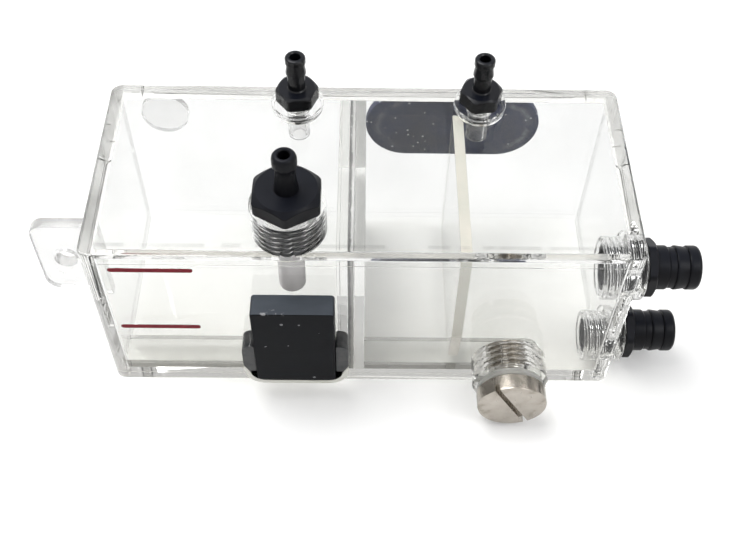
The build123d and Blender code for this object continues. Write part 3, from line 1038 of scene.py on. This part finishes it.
def front_barb():
    """Tapered neck with one rounded head."""
    return [
        (2.6, 0), (2.56, 0.34), (2.4, 1.35), (2.22, 2.9), (2.12, 4.8), (2.1, 6.0), (2.2, 6.3),
        (2.42, 6.6), (2.55, 6.9), (2.59, 7.3), (2.6, 8.35), (2.57, 8.75), (2.48, 9.2), (2.3, 9.5),
        (2.06, 9.72), (1.82, 9.8),
    ]


def rear_barb():
    """Small flared foot and two ridges."""
    return [(2.3, 0), (2.05, 0.3), (2.0, 0.8)] + ridges(2.0, 2.35, (4.1, 7.1), 9.1, 0.6)


def side_barb():
    """Collar, shank and two ridges."""
    collar = [(5.0, 0), (5.0, 2.4), (4.95, 2.6), (4.65, 2.95)]
    return collar + ridges(4.65, 5.0, (4.3, 7.1), 10.0, 1.0)


def black_fittings():
    """The five hose fittings, each with its hexagon turned as it was tightened."""
    fitting(
        "lid_fitting_front", "fitting_front", front_port, black, flats=14.0, hex_height=3.8,
        chamfer=1.15, turn=30, barb=front_barb(), bore=1.25, nipple=(2.0, 4.0), short=0.5,
    )
    for side, port in rear_ports.items():
        fitting(
            f"lid_fitting_{side}", f"fitting_rear_{side}", port, gloss, flats=9.0, hex_height=3.6,
            chamfer=0.7, turn=8, barb=rear_barb(), bore=1.25, nipple=(1.55, 3.0),
        )
    for side, port in side_ports.items():
        fitting(
            f"hose_fitting_{side}", f"hose_barb_{side}", port, black, flats=12.0, hex_height=2.2,
            chamfer=0.6, turn=30, barb=side_barb(), bore=3.2,
        )


def seal(name, node, port, body="tank"):
    """Flat sealing ring with rounded rims."""
    low, high = corners(node)
    thick, across = sorted(high - low)[:2]
    radius, hole = across / 2, port.crest + THREAD_PLAY
    soft = thick * 0.3
    rows = [
        (hole, soft + GAP), (hole + soft, GAP), (radius - soft, GAP), (radius, soft + GAP),
        (radius, thick - soft - GAP), (radius - soft, thick - GAP), (hole + soft, thick - GAP),
        (hole, thick - soft - GAP),
    ]
    dress(spin(name, rows, port.seat, ring=True), "silicone", [rubber], node, body=body, angle=40)


def seals():
    """A gasket under each black fitting, and the seal ring under the drain plug's head."""
    seal("seal_front", "gasket_front", front_port)
    for group, ports in (("rear", rear_ports), ("side", side_ports)):
        for side, port in ports.items():
            seal(f"seal_{group}_{side}", f"gasket_{group}_{side}", port)
    seal("seal_drain", "drain_seal", drain_port, body="drain_seal_ring")


def drain_plug():
    """Slotted cheese-head screw with a threaded shank."""
    low, high = corners("drain_screw")
    seal_low, seal_high = corners("drain_seal")
    radius, head, lift = (high.x - low.x) / 2, seal_low.y - low.y, seal_high.y - seal_low.y
    edge, lead, half_slot, slot_depth, slot_turn = 0.4, 0.7, 0.6, 1.8, -60
    shank = high.y - low.y - head
    crest, root = drain_port.root, 2 * drain_port.root - drain_port.crest
    rows = [(root - lead, -shank), (crest, -shank + lead)]
    rows += thread_rows(root, crest, -shank + lead, -0.4, drain_port.pitch, drain_port.flat)
    rows += [
        (crest, -0.3), (crest, GAP), (radius - edge, GAP), (radius, edge), (radius, head - edge),
        (radius - edge * EASE, head - edge * EASE), (radius - edge, head), (radius - edge - 0.3, head),
    ]
    screw = spin("drain_plug", rows, drain_port.raised(lift))
    outline = rectangle((-radius - 1, -half_slot), (radius + 1, half_slot), 0.01, 1)
    slot = plate("slot", outline, head - slot_depth, head + 1, matrix=drain_port.raised(lift, slot_turn))
    combine("DIFFERENCE", screw, slot)
    dress(screw, "nickel_plate", [metal], "drain_screw", body="drain_plug", angle=30)


def tube(place, material, wall=1.0):
    """Upright tube with softened lower rims."""
    node = f"dip_tube_{place}"
    low, high = corners(node)
    centre = (low + high) / 2
    outer, tall = (high.x - low.x) / 2, high.z - low.z
    inside = outer - wall
    rows = [
        (inside, 0.2), (inside + 0.2, 0), (outer - 0.25, 0), (outer, 0.25),
        (outer, tall - GAP), (inside, tall - GAP),
    ]
    piece = spin(f"tube_{place}", rows, placed((centre.x, centre.y, low.z), X, Z), ring=True)
    dress(piece, "milky_tube", [material], node, angle=25)


black_fittings()
seals()
drain_plug()
tube("front", milky, 0.9)
tube("rear_left", pipe)
# This tube takes the darker copy, painted shade of the dark pad behind it.
tube("rear_right", shaded_pipe)


# ------ Marks, sensor and pad

def level_marks():
    """Paint that fills the two grooves in the front wall."""
    for level in ("upper", "lower"):
        node = f"level_mark_{level}"
        piece = front_plate(f"mark_{level}", node, mark_outline(node), 0.1)
        dress(piece, "red_paint", [red], node, angle=40)


def sensor():
    """Black block with softly rounded edges."""
    low, high = corners("sensor_block")
    outline = rectangle((low.x, low.z), (high.x, high.z), 0.9)
    piece = front_plate("level_sensor", "sensor_block", outline, 0.35)
    dress(piece, "sensor_black", [resin], "sensor_block", angle=40)


def rear_foam():
    """Pad with round ends on the outside of the back wall; it faces backwards, so its x is mirrored."""
    low, high = corners("rear_pad")
    outline = rectangle((-high.x, low.z), (-low.x, high.z), (high.z - low.z) / 2 - 0.01, 16)
    piece = plate("foam_pad", outline, 0, high.y - low.y, 0.4, matrix=placed((0, low.y, 0), -X, Y))
    dress(piece, "pad_foam", [foam], "rear_pad", angle=40)


level_marks()
sensor()
rear_foam()


# ------ Studio

FLOOR_GLOW = 0.16    # light that the camera sees on the floor near the tank; it rises to 1 further out
CEILING = 0.8        # grey of a band high up in the white room


def floor_paint():
    """Pale matt floor, shown as the white background except in the object's shadow."""
    look = Look("floor", Roughness=0.9)
    look.base(look.two_tone(look.noise(6, 2), grey(0.80), grey(0.82)))
    away = look.node("VectorMath", operation="LENGTH")
    look.link(look.coordinates, away.inputs[0])
    level = look.spread(away.outputs["Value"], 0.3, 0.9, FLOOR_GLOW, 1)
    glow = look.node("Emission", Color=(*grey(1), 1))
    look.link(look.product(look.seen(), level), glow.inputs["Strength"])
    total = look.node("AddShader")
    look.link(look.surface.outputs["BSDF"], total.inputs[0])
    look.link(glow.outputs["Emission"], total.inputs[1])
    look.link(total.outputs["Shader"], look.output.inputs["Surface"])
    return look.material


def ground():
    """Large floor just under the tank."""
    reach, drop = 3.0, 0.0001
    mesh = bpy.data.meshes.new("floor")
    square = [(-reach, -reach, 0), (reach, -reach, 0), (reach, reach, 0), (-reach, reach, 0)]
    mesh.from_pydata(square, [], [(0, 1, 2, 3)])
    floor = linked("floor", mesh)
    floor.location.z = tank_low.z * MM - drop
    floor.data.materials.append(floor_paint())


def surroundings():
    """Soft light, dimmer from the front, and the white room that is seen in its place."""
    world = bpy.data.worlds.new("studio")
    bpy.context.scene.world = world
    world.use_nodes = True
    world.node_tree.nodes.clear()
    sky = Nodes(world.node_tree)
    to_back, to_top = sky.split(sky.node("TexCoord").outputs["Generated"])[1:]

    def backdrop(axis, strength, *stops):
        """Background whose grey changes along one axis of the direction of view."""
        tones = sky.ramp(sky.spread(axis, -1, 1, 0, 1), *((place, grey(level)) for place, level in stops))
        made = sky.node("Background", Strength=strength)
        sky.link(tones, made.inputs["Color"])
        return made.outputs["Background"]

    light = backdrop(to_back, 0.8, (0.12, 0.30), (0.55, 0.88))
    room = backdrop(to_top, 1.0, (0.74, 1.0), (0.84, CEILING), (0.93, CEILING), (1.0, 1.0))
    output = sky.node("OutputWorld")
    sky.link(sky.mix_shaders(sky.seen(), light, room), output.inputs["Surface"])


def lamp(name, place, size, power):
    """Square area lamp that points at the origin."""
    data = bpy.data.lights.new(name, "AREA")
    data.size = size
    data.energy = power
    holder = linked(name, data)
    holder.location = place
    holder.rotation_euler = (-Vector(place)).to_track_quat("-Z", "Y").to_euler()


def camera():
    """Camera in front of the tank, looking down at it."""
    place = Vector((0.0, -161.2, 218.8))
    pitch, yaw, roll = (math.radians(angle) for angle in (52.56, 1.07, 1.37))
    forward = Vector((math.sin(yaw) * math.cos(pitch), math.cos(yaw) * math.cos(pitch), -math.sin(pitch)))
    level = Vector((math.cos(yaw), -math.sin(yaw), 0))
    over = level.cross(forward)
    right = math.cos(roll) * level + math.sin(roll) * over
    up = -math.sin(roll) * level + math.cos(roll) * over
    data = bpy.data.cameras.new("camera")
    data.sensor_width = 36
    data.lens = 50.25
    data.clip_start = 0.01
    view = linked("camera", data)
    rotation = Matrix((right, up, -forward)).transposed().to_4x4()
    view.matrix_world = Matrix.Translation(place * MM) @ rotation
    bpy.context.scene.camera = view


ground()
surroundings()
lamp("key_lamp", (-0.25, 0.15, 0.75), size=0.5, power=5.0)
lamp("fill_lamp", (0.5, -0.3, 0.6), size=0.4, power=2.0)
camera()
scene = bpy.context.scene
scene.view_settings.view_transform = "Standard"
scene.cycles.max_bounces = 32            # light passes through many clear walls
scene.cycles.glossy_bounces = 24
scene.cycles.transmission_bounces = 32
